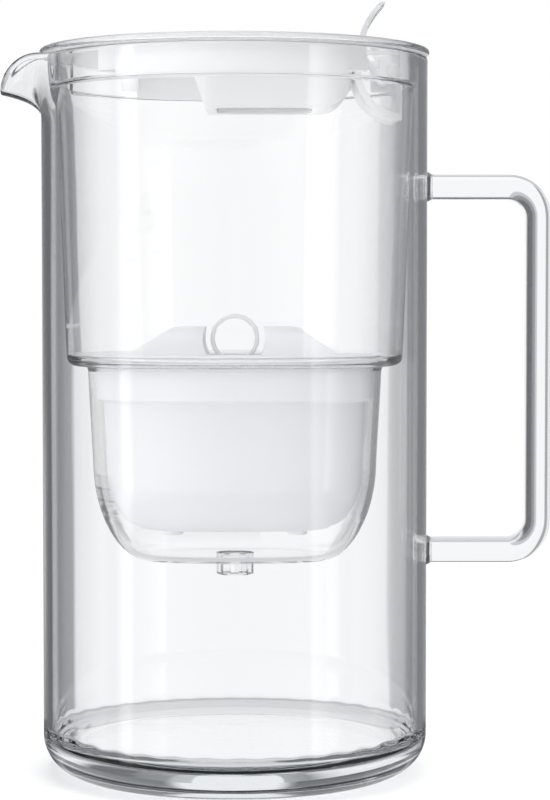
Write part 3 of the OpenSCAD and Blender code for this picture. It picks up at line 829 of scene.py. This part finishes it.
@dataclass
class Funnel:
    """The clear reservoir with its flange, collar, deck, oval cup and outlet.

    Attributes:
        jug_gap: distance from the glass's outside to the collar.
        flange_over: how far the flange stands out past the glass.
        chamfer: size of the small edges on the outlet and the collar.
        cup_neck: depth of the cup's upper stretch, and how much it narrows there.
        cup_foot: height of the row over the cup's knee, and how far it stands out.
        wall_rows: heights of the rows on the leaning wall, as shares of its height.
        bottom_rows: places of the rows on the cup's flat bottom, as shares of its size.
    """

    wall: float = 1.9 * MM
    flange: float = 2.3 * MM
    flange_soft: tuple[float, float] = (2.2 * MM, 1.1 * MM)
    collar_h: float = 10.3 * MM
    step: float = 1.2 * MM
    lean: float = 3.5 * MM
    jug_gap: float = 3.6 * MM
    thin: float = 1.2 * MM
    deck_corner: float = 3.2 * MM
    flange_edge: float = 0.7 * MM
    flange_over: float = 0.5 * MM
    collar_edge: float = 0.4 * MM
    chamfer: float = 0.3 * MM
    ledge_edge: float = 0.1 * MM
    ledge_chamfer: float = 0.2 * MM
    cup_fillet: tuple[float, float] = (1.6 * MM, 0.3)
    cup_mouth: tuple[float, float] = (0.5 * MM, 0.6 * MM)
    cup_neck: tuple[float, float] = (6.0 * MM, 0.25 * MM)
    cup_foot: tuple[float, float] = (6.0 * MM, 0.3 * MM)
    wall_rows: tuple[float, ...] = (0.3, 0.6, 0.85)
    bottom_rows: tuple[float, float] = (0.8, 0.5)
    knee_rows: int = 12
    cup_w: float = 49.5 * MM
    cup_lean: float = 1.6 * MM
    cup_corner: tuple[float, float] = (19.5 * MM, 34.2 * MM)
    straight: float = 16.0 * MM
    deck_z: float = 137.7 * MM
    cup_z: float = 71.4 * MM
    outlet_r: float = 6.25 * MM
    recess: float = 1.0 * MM
    drips: int = 2
    drip_pitch: float = 5.0 * MM
    drip_w: float = 2.4 * MM
    drip_l: float = 7.5 * MM
    pour_half_w: float = 15.0 * MM
    count: int = 240
    top: float = field(init=False)
    low: float = field(init=False)
    flange_r: float = field(init=False)

    def __post_init__(self) -> None:
        """Takes the flange and the outlet's end from the frame."""
        low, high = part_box("funnel")
        self.top, self.low, self.flange_r = high.z, low.z, high.y

    def oval(self, half_w: float, z: float, scale: float = 1.0) -> Ring:
        """Returns a ring of the cartridge's oval, which loses the same all round as it shrinks."""
        return oval_ring(half_w * scale, (half_w - self.straight) * scale, z, self.count)

    def cup(self, inset: float, top: float, bottom: float) -> list[Ring]:
        """Makes the cup's rings from its mouth down to its flat bottom.

        Args:
            inset: how far they lie inside the cup's outside.
            top: height of the mouth.
            bottom: height of the flat bottom.

        Returns:
            The rings.
        """
        side = self.cup_w - self.cup_lean
        wide, high = self.cup_corner
        knee = self.cup_z + high
        drop, narrow = self.cup_neck
        over, stand = self.cup_foot
        rings = [self.oval(self.cup_w - inset, top), self.oval(self.cup_w - inset - narrow, top - drop)]
        rings.append(self.oval(side + stand - inset, knee + over))
        for i in range(self.knee_rows + 1):
            a = math.radians(90 * i / self.knee_rows)
            half_w = side - wide + (wide - inset) * math.cos(a)
            rings.append(self.oval(half_w, knee - (knee - bottom) * math.sin(a)))
        rings += [self.oval(side - wide, bottom, f) for f in self.bottom_rows]
        return rings

    def outlet(self) -> list[Ring]:
        """Makes the outlet collar and the shallow recess over it.

        Returns:
            The rings.
        """
        r, soft = self.outlet_r, self.chamfer
        floor = self.cup_z + self.wall
        outline = [(r + soft, self.cup_z), (r, self.cup_z - soft), (r, self.low + soft)]
        outline += [(r - soft, self.low), (0.0, self.low), (0.0, floor - self.recess)]
        outline += [(r - 2 * soft, floor - self.recess), (r - soft, floor - self.recess + soft)]
        outline += [(r - soft, floor - soft), (r, floor)]
        return [circle_ring(x, z, self.count) for x, z in outline]

    def build(self) -> bpy.types.Object:
        """Builds the funnel as one closed shell with two drip slots in its outlet.

        Returns:
            The funnel's object.
        """
        rim_r = self.flange_r
        collar_r = rim_r - self.flange_over - self.jug_gap
        under = self.top - self.flange
        ledge = under - self.collar_h
        wall_r = collar_r - self.step
        low_r = wall_r - self.lean
        deck_top = self.deck_z + self.wall
        edge = self.flange_edge
        soft, rise = self.flange_soft
        outside = arc(rim_r - soft, self.top - rise, soft, 90, 0, 12, rise)
        outside += arc(rim_r - edge, under + edge, edge, 0, -90, 4)
        mouth = self.collar_edge
        outside += [(collar_r + mouth, under), (collar_r, under - mouth), (collar_r, ledge + self.chamfer)]
        outside += [(collar_r - self.chamfer, ledge), (wall_r, ledge - self.step)]
        fall = self.deck_z - ledge
        outside += [(wall_r - self.lean * f, ledge - self.step + fall * f) for f in self.wall_rows]
        outside += arc(low_r - self.deck_corner, self.deck_z + self.deck_corner, self.deck_corner, 0, -90)
        rings = [self.past_spout(circle_ring(r, z, self.count), wall_r, ledge) for r, z in outside]
        fillet, part = self.cup_fillet
        rings.append(self.oval(self.cup_w + fillet, self.deck_z))
        rings.append(self.oval(self.cup_w + fillet * part, self.deck_z - fillet * part))
        rings += self.cup(0.0, self.deck_z - fillet, self.cup_z)
        rings += self.outlet()
        wider, deeper = self.cup_mouth
        floor = self.cup_z + self.wall
        rings += list(reversed(self.cup(self.wall, deck_top - deeper, floor)))
        rings.append(self.oval(self.cup_w - self.wall + wider, deck_top))
        inner_corner = self.deck_corner - self.thin
        inner_low = low_r - self.thin
        inside = arc(inner_low - inner_corner, deck_top + inner_corner, inner_corner, -90, 0)
        inner_top = wall_r - self.thin
        inside += [(inner_top - self.lean * f, ledge + fall * f) for f in reversed(self.wall_rows)]
        collar_in = collar_r - self.wall
        small, bevel = self.ledge_edge, self.ledge_chamfer
        inside += [(inner_top, ledge - bevel), (inner_top + bevel, ledge), (collar_in - small, ledge)]
        inside += [(collar_in, ledge + small), (collar_in, self.top - self.chamfer)]
        inside.append((collar_in + self.chamfer, self.top))
        rings += [circle_ring(r, z, self.count) for r, z in inside]
        low, high = self.low - self.wall, floor + self.wall
        drips = SlotRow(self.drips, self.drip_pitch, self.drip_w, self.drip_l, low, high)
        return drips.cut(skin("funnel_clear", rings, CLEAR, closed=True), CLEAR)

    def past_spout(self, ring: Ring, wall_r: float, ledge: float) -> Ring:
        """Thins the collar on the spout side, where water passes on its way to the lip.

        Args:
            ring: a ring of the outside.
            wall_r: radius of the wall under the collar.
            ledge: height of the collar's lower end.

        Returns:
            The same ring.
        """
        under = self.top - self.flange
        if not ledge - self.step < ring[0].z < under - self.ledge_edge:
            return ring
        for point in ring:
            r = math.hypot(point.x, point.y)
            if point.x < 0 and abs(point.y) < self.pour_half_w and r > wall_r:
                point.x *= wall_r / r
                point.y *= wall_r / r
        return ring


@dataclass
class Cartridge:
    """The white oval filter cartridge that hangs in the cup.

    Attributes:
        collar_edge: size of the chamfer under the wide collar.
        neck: depth of the side's upper stretch under the collar, and how much it narrows there.
        knee_over: height of the row over the knee, and how far it stands out.
        mouth_depth: depth of the straight mouth inside the collar.
        bottom_rows: places of the rows on the flat bottom, as shares of its size.
    """

    wall: float = 1.8 * MM
    straight: float = 16.0 * MM
    side_w: float = 44.6 * MM
    lean: float = 1.2 * MM
    corner: tuple[float, float] = (14.4 * MM, 21.6 * MM)
    collar_w: float = 46.8 * MM
    collar_h: float = 13.5 * MM
    lip: float = 1.2 * MM
    foot_x: float = 21.0 * MM
    foot_r: float = 3.5 * MM
    foot_h: float = 2.2 * MM
    foot_edge: float = 0.5 * MM
    foot_sides: int = 32
    lip_edge: float = 0.3 * MM
    collar_edge: float = 0.8 * MM
    collar_step: float = 0.2 * MM
    neck: tuple[float, float] = (4.0 * MM, 0.4 * MM)
    knee_over: tuple[float, float] = (6.0 * MM, 0.2 * MM)
    knee_rows: int = 12
    mouth_depth: float = 2.8 * MM
    bottom_rows: tuple[float, float] = (0.7, 0.35)
    slots: int = 5
    slot_pitch: float = 5.0 * MM
    slot_w: float = 2.0 * MM
    slot_l: float = 14.0 * MM
    ring_foot_w: float = 8.0 * MM
    ring_wall: float = 1.4 * MM
    ring_edge: float = 0.45 * MM
    ring_rows: int = 144
    count: int = 200
    bottom: float = field(init=False)
    top: float = field(init=False)
    lip_w: float = field(init=False)

    def __post_init__(self) -> None:
        """Takes the shell's ends and its lip from the frame."""
        low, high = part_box("cartridge_shell")
        self.bottom, self.top, self.lip_w = low.z + self.foot_h, high.z, high.x

    def oval(self, half_w: float, z: float, scale: float = 1.0) -> Ring:
        """Returns a ring of the cartridge's oval."""
        return oval_ring(half_w * scale, (half_w - self.straight) * scale, z, self.count)

    def shell(self) -> bpy.types.Object:
        """Builds the housing with its lip, wide collar and rounded bottom.

        Returns:
            The housing's object.
        """
        wide, high = self.corner
        side = self.side_w - self.lean
        knee = self.bottom + high
        lip_z = self.top - self.lip
        collar_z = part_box("lip_seal")[0].z - self.collar_h
        edge = self.lip_edge
        rows = [(self.lip_w - edge, self.top), (self.lip_w, self.top - edge)]
        rows += [(self.lip_w, lip_z + edge), (self.lip_w - edge, lip_z)]
        rows += [(self.collar_w + edge, lip_z), (self.collar_w, lip_z - edge)]
        rows += [(self.collar_w, collar_z + self.collar_edge), (self.collar_w - self.collar_edge, collar_z)]
        rows.append((self.side_w - self.collar_step, collar_z - edge))
        rows.append((self.side_w - self.neck[1], collar_z - self.neck[0]))
        rows.append((side + self.knee_over[1], knee + self.knee_over[0]))
        angles = [math.radians(90 * i / self.knee_rows) for i in range(self.knee_rows + 1)]
        rows += [(side - wide + wide * math.cos(a), knee - high * math.sin(a)) for a in angles]
        rings = [self.oval(half_w, z) for half_w, z in rows]
        rings += [self.oval(side - wide, self.bottom, f) for f in self.bottom_rows]
        rings.append([Vector((0, 0, self.bottom))])
        floor = self.bottom + self.wall
        inner = [[Vector((0, 0, floor))]]
        inner += [self.oval(side - wide, floor, f) for f in reversed(self.bottom_rows)]
        wide_in, high_in = wide - self.wall, high - self.wall
        flat = side - wide
        rows = [(flat + wide_in * math.cos(a), knee - high_in * math.sin(a)) for a in reversed(angles)]
        mouth = self.collar_w - self.wall
        rows += [(mouth, self.top - self.mouth_depth), (mouth, self.top)]
        inner += [self.oval(half_w, z) for half_w, z in rows]
        return self.two_walls(rings, inner)

    def two_walls(self, outer: list[Ring], inner: list[Ring]) -> bpy.types.Object:
        """Joins the housing's outside and inside at its mouth, adds its two feet and cuts its slots.

        Args:
            outer: rings of the outside, from the mouth down.
            inner: rings of the inside, from the floor up.

        Returns:
            The housing's object.
        """
        piece = skin("cartridge_shell_white", [*reversed(outer), *reversed(inner)], WHITE)
        work = bmesh.new()
        work.from_mesh(piece.data)
        low, top = self.bottom - self.foot_h, self.bottom + self.foot_edge
        profile = [(0.0, low), (self.foot_r - self.foot_edge, low), (self.foot_r, low + self.foot_edge)]
        profile += [(self.foot_r, top), (0.0, top)]
        for side in (-1, 1):
            place = Vector((side * self.foot_x, 0, 0))
            stitch(work, [[p + place for p in circle_ring(r, z, self.foot_sides)] for r, z in profile])
        bmesh.ops.recalc_face_normals(work, faces=work.faces)
        work.to_mesh(piece.data)
        work.free()
        low, high = self.bottom - self.wall, self.bottom + 2 * self.wall
        return SlotRow(self.slots, self.slot_pitch, self.slot_w, self.slot_l, low, high).cut(piece, WHITE)

    def ring(self) -> bpy.types.Object:
        """Builds the finger ring as a band with round edges, which widens to a foot below.

        Returns:
            The ring's object.
        """
        low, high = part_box("pull_ring")
        half, r = high.y, high.x
        middle = high.z - r
        inner = r - self.ring_wall
        soft = self.ring_edge
        rings = []
        for i in range(self.ring_rows):
            a = 2 * math.pi * i / self.ring_rows
            side = self.ring_foot_w / 2 / max(abs(math.cos(a)), 0.01)
            out = min(middle - low.z, side) if math.sin(a) < 0 and side > r else r
            corners = ((out - soft, half - soft), (inner + soft, half - soft))
            corners += ((inner + soft, soft - half), (out - soft, soft - half))
            outline = []
            for k, (d, y) in enumerate(corners):
                outline += arc(d, y, soft, 90 * k, 90 * k + 90, 4)
            rings.append([Vector((d * math.cos(a), y, middle + d * math.sin(a))) for d, y in outline])
        return skin("pull_ring_white", rings, WHITE, closed=True)


@dataclass
class Studio:
    """A white light tent with dark edges, a pale floor, soft lights and the camera.

    Attributes:
        flags: brightness that light through the outer glass meets, by degrees beside a view.
        inner_flags: the same for light that also went through the funnel's walls.
        inner_depth: number of surfaces that light has passed when it counts as that.
        mirrored: brightness of the cloth that glass mirrors, by degrees round the tent.
        column: brightness of floor, dark band and ceiling, by height of the direction.
        cloth: brightness of the cloth that lights matt surfaces, by degrees round the tent.
        gap_light: brightness of the light gap low on the left, seen through the inner walls.
        fill_rise: heights of the direction between which the cloth turns into the bright top.
        cool: how blue white cloth is, and how much bluer black cloth is.
    """

    flags: Strips = (
        (-45.0, 1.0), (-24.0, 0.9), (-19.0, 0.7), (-15.0, 0.3), (-10.0, 0.45),
        (-9.7, 0.95), (6.8, 0.95), (7.1, 0.6), (10.5, 0.55), (12.0, 0.3),
        (18.0, 0.25), (21.0, 0.12), (33.0, 0.12), (39.0, 0.8), (45.0, 1.0),
    )
    inner_flags: Strips = (
        (-45.0, 1.0), (-24.0, 0.9), (-20.0, 0.7), (-16.0, 0.3), (-13.0, 0.45),
        (-12.7, 1.0), (7.6, 1.0), (8.0, 0.8), (10.5, 0.75), (12.0, 0.55),
        (18.0, 0.5), (21.0, 0.35), (33.0, 0.3), (39.0, 0.8), (45.0, 1.0),
    )
    mirrored: Strips = (
        (-180.0, 0.8), (-140.0, 1.1), (-118.0, 1.0), (-116.5, 2.2), (-110.0, 1.9),
        (-107.0, 0.6), (-98.0, 0.6), (-96.0, 0.95), (-82.0, 0.6), (-70.0, 0.15),
        (-12.0, 0.15), (-9.0, 0.95), (9.0, 0.95), (12.0, 0.2), (68.0, 0.25),
        (84.0, 0.7), (108.0, 0.75), (120.0, 1.0), (132.5, 1.9), (133.5, 0.8),
        (180.0, 0.8),
    )
    column: Strips = (
        (-1.0, 0.7), (-0.78, 0.6), (-0.7, 0.65), (-0.5, 0.68), (-0.46, 0.5),
        (-0.43, 0.5), (-0.41, 0.88), (-0.3, 0.93), (0.48, 0.12), (0.76, 0.12),
        (0.86, 0.8), (1.0, 1.0),
    )
    paper_top: float = -0.3
    flags_low: float = -0.4
    flags_high: float = 0.48
    ceiling_low: float = 0.54
    gap_top: float = -0.031
    gap_low: float = -0.1
    gap_edge: float = 0.003
    gap_fade: float = 0.1
    gap_light: float = 0.86
    inner_depth: float = 4.5
    cool: tuple[float, float] = (1.004, 0.05)
    cloth: Strips = (
        (-180.0, 0.98), (-150.0, 1.05), (-120.0, 1.35), (-80.0, 1.3), (-50.0, 1.08),
        (0.0, 1.08), (35.0, 0.7), (55.0, 0.18), (118.0, 0.18), (128.0, 0.8),
        (140.0, 1.1), (180.0, 0.98),
    )
    fill_high: float = 1.2
    fill_rise: tuple[float, float] = (0.5, 0.9)
    softbox_place: tuple[float, float, float] = (0.1, -0.3, 1.6)
    softbox_aim: tuple[float, float, float] = (0.0, 0.0, 0.12)
    softbox_side: float = 1.2
    softbox_power: float = 5.0
    glass_bounces: int = 40
    mirror_bounces: int = 16
    floor_r: float = 1.2
    floor_sides: int = 128
    lens_mm: float = 112.0
    sensor_mm: float = 36.0
    eye: tuple[float, float, float] = (0.0136, -0.843, 0.1637)
    pitch: float = math.radians(2.576)

    def camera(self) -> None:
        """Stands the camera where the photograph was taken, looking a little down."""
        data = bpy.data.cameras.new("camera")
        data.lens = self.lens_mm
        data.sensor_width = self.sensor_mm
        data.clip_start = 0.01
        made = bpy.data.objects.new("camera", data)
        made.location = self.eye
        made.rotation_euler = (math.pi / 2 - self.pitch, 0.0, 0.0)
        bpy.context.scene.collection.objects.link(made)
        bpy.context.scene.camera = made

    def floor(self) -> None:
        """Lays a round sheet of pale paper under the pitcher."""
        mesh = bpy.data.meshes.new("floor")
        rim = circle_ring(self.floor_r, 0.0, self.floor_sides)
        mesh.from_pydata(rim, [], [tuple(range(self.floor_sides))])
        sheet = dress(link("floor", mesh), PAPER)
        sheet.visible_transmission = False
        sheet.visible_glossy = False

    def ramp(
        self, tree: bpy.types.NodeTree, share: bpy.types.NodeSocket, strips: Strips
    ) -> bpy.types.NodeSocket:
        """Blends a row of strips of light into one another.

        Args:
            tree: the world's tree.
            share: the place on the row, from 0 at its start to 1 at its end.
            strips: the place and the brightness of each strip.

        Returns:
            The brightness at that place.
        """
        made = add_node(tree, "ShaderNodeValToRGB", {"Fac": share})
        points = made.color_ramp.elements
        first, span = strips[0][0], strips[-1][0] - strips[0][0]
        while len(points) > 1:
            points.remove(points[0])
        for i, (start, light) in enumerate(strips):
            place = (start - first) / span
            point = points[0] if i == 0 else points.new(place)
            point.position = place
            cool = self.cool[0] + self.cool[1] * max(0.0, 1.0 - light)
            point.color = (light / cool, light, light * cool, 1.0)
        return made.outputs["Color"]

    def tent(self) -> None:
        """Makes the world: a white tent with dark flags beside each view, which draw the edges of glass.

        Light that only went through glass meets the flags, mirrored light meets mostly white
        cloth, and light for matt surfaces comes evenly from all round.
        """
        world = bpy.data.worlds.new("light_tent")
        bpy.context.scene.world = world
        world.use_nodes = True
        tree = world.node_tree
        tree.nodes.clear()
        direction = add_node(tree, "ShaderNodeTexCoord").outputs["Generated"]
        x, y, z = add_node(tree, "ShaderNodeSeparateXYZ", {0: direction}).outputs

        def calc(operation: str, *values: Any) -> bpy.types.NodeSocket:
            """Adds a Math node and returns its result."""
            return add_node(tree, "ShaderNodeMath", dict(enumerate(values)), operation=operation).outputs[0]

        def mix(share: bpy.types.NodeSocket, low: Any, high: Any) -> bpy.types.NodeSocket:
            """Adds a colour mix and returns its result."""
            return add_node(tree, "ShaderNodeMix", {0: share, 6: low, 7: high}, data_type="RGBA").outputs[2]

        def between(value: bpy.types.NodeSocket, low: float, high: float) -> bpy.types.NodeSocket:
            """Returns 0 below a value, 1 above another and a slope between them."""
            return add_node(tree, "ShaderNodeMapRange", {0: value, 1: low, 2: high}).outputs[0]

        turn = calc("ARCTAN2", x, y)
        around = calc("MULTIPLY_ADD", turn, 0.5 / math.pi, 0.5)
        quarter = calc("WRAP", turn, math.pi / 4, -math.pi / 4)
        path = add_node(tree, "ShaderNodeLightPath").outputs
        place = calc("MULTIPLY_ADD", quarter, 2 / math.pi, 0.5)
        inner = calc("GREATER_THAN", path["Transmission Depth"], self.inner_depth)
        through = mix(inner, self.ramp(tree, place, self.flags), self.ramp(tree, place, self.inner_flags))
        column = self.ramp(tree, calc("MULTIPLY_ADD", z, 0.5, 0.5), self.column)
        paper = between(z, self.paper_top, self.flags_low)
        ends = calc("MAXIMUM", paper, between(z, self.flags_high, self.ceiling_low))
        through = mix(ends, through, column)
        mirrored = mix(paper, self.ramp(tree, around, self.mirrored), column)
        high_fill = (self.fill_high, self.fill_high, self.fill_high, 1.0)
        fill = mix(between(z, *self.fill_rise), self.ramp(tree, around, self.cloth), high_fill)
        light = mix(calc("GREATER_THAN", path["Glossy Depth"], 0.5), through, mirrored)
        under = between(z, self.gap_top + self.gap_edge, self.gap_top)
        height = calc("MULTIPLY", under, between(z, self.gap_low - self.gap_fade, self.gap_low))
        gap = calc("MULTIPLY", calc("MULTIPLY", inner, calc("LESS_THAN", turn, 0.0)), height)
        light = mix(gap, light, (self.gap_light, self.gap_light, self.gap_light, 1.0))
        light = mix(calc("GREATER_THAN", path["Diffuse Depth"], 0.5), light, fill)
        light = mix(path["Is Camera Ray"], light, (1.0, 1.0, 1.0, 1.0))
        shader = add_node(tree, "ShaderNodeBackground", {"Color": light, "Strength": 1.0})
        add_node(tree, "ShaderNodeOutputWorld", {"Surface": shader.outputs[0]})

    def softbox(self) -> None:
        """Hangs a soft square light over the pitcher, aimed at its middle."""
        data = bpy.data.lights.new("overhead_softbox", "AREA")
        data.shape = "RECTANGLE"
        data.size = data.size_y = self.softbox_side
        data.energy = self.softbox_power
        made = bpy.data.objects.new("overhead_softbox", data)
        made.location = self.softbox_place
        aim = Vector(self.softbox_aim) - Vector(self.softbox_place)
        made.rotation_euler = aim.to_track_quat("-Z", "Y").to_euler()
        bpy.context.scene.collection.objects.link(made)

    def build(self) -> None:
        """Sets up camera, floor, tent, lights and how the picture is toned."""
        self.camera()
        self.floor()
        self.tent()
        self.softbox()
        scene = bpy.context.scene
        scene.view_settings.view_transform = "Standard"
        scene.cycles.blur_glossy = 0.0
        scene.cycles.max_bounces = self.glass_bounces
        scene.cycles.transmission_bounces = self.glass_bounces
        scene.cycles.glossy_bounces = self.mirror_bounces
        scene.cycles.transparent_max_bounces = self.mirror_bounces


def main() -> None:
    """Loads the frame, builds each sub-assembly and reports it."""
    logging.basicConfig(level=logging.INFO, format="%(name)s: %(message)s")
    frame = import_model()
    Studio().build()
    jug = GlassJug()
    finish_piece(jug.body(), Body.JUG, "borosilicate_glass", "glass_jug")
    finish_piece(GlassHandle().build(), Body.JUG, "borosilicate_glass", "handle")
    finish_piece(Funnel().build(), Body.FUNNEL, "clear_plastic", "funnel")
    cartridge = Cartridge()
    finish_piece(cartridge.shell(), Body.CARTRIDGE, "white_plastic", "cartridge_shell")
    finish_piece(cartridge.ring(), Body.CARTRIDGE, "white_plastic", "pull_ring")
    moulded = (
        ("cartridge_cap", Body.CARTRIDGE, "white_plastic", WHITE, 0.4 * MM),
        ("lid_frame", Body.LID, "white_plastic", MILKY, 0.2 * MM),
        ("flap", Body.FLAP, "white_plastic", MILKY, 0.2 * MM),
        ("thumb_tab", Body.FLAP, "frosted_plastic", FROSTED, 0.3 * MM),
    )
    for node, body, slot, finish, edge in moulded:
        piece = softened_copy(frame["nodes"][node], f"{node}_moulded", finish, edge)
        finish_piece(piece, body, slot, node)
    finishes = {
        "rim_gasket": SILICONE, "lip_seal": SILICONE, "flap_seal": SILICONE, "inlet_screen": SCREEN,
        "outlet_screen": SCREEN, "felt_pad": FELT, "filter_media": BEADS,
    }
    for name, finish in finishes.items():
        node = frame["nodes"][name]
        node.data.materials.clear()
        node.data.materials.append(finish.material())


if __name__ == "__main__":
    main()
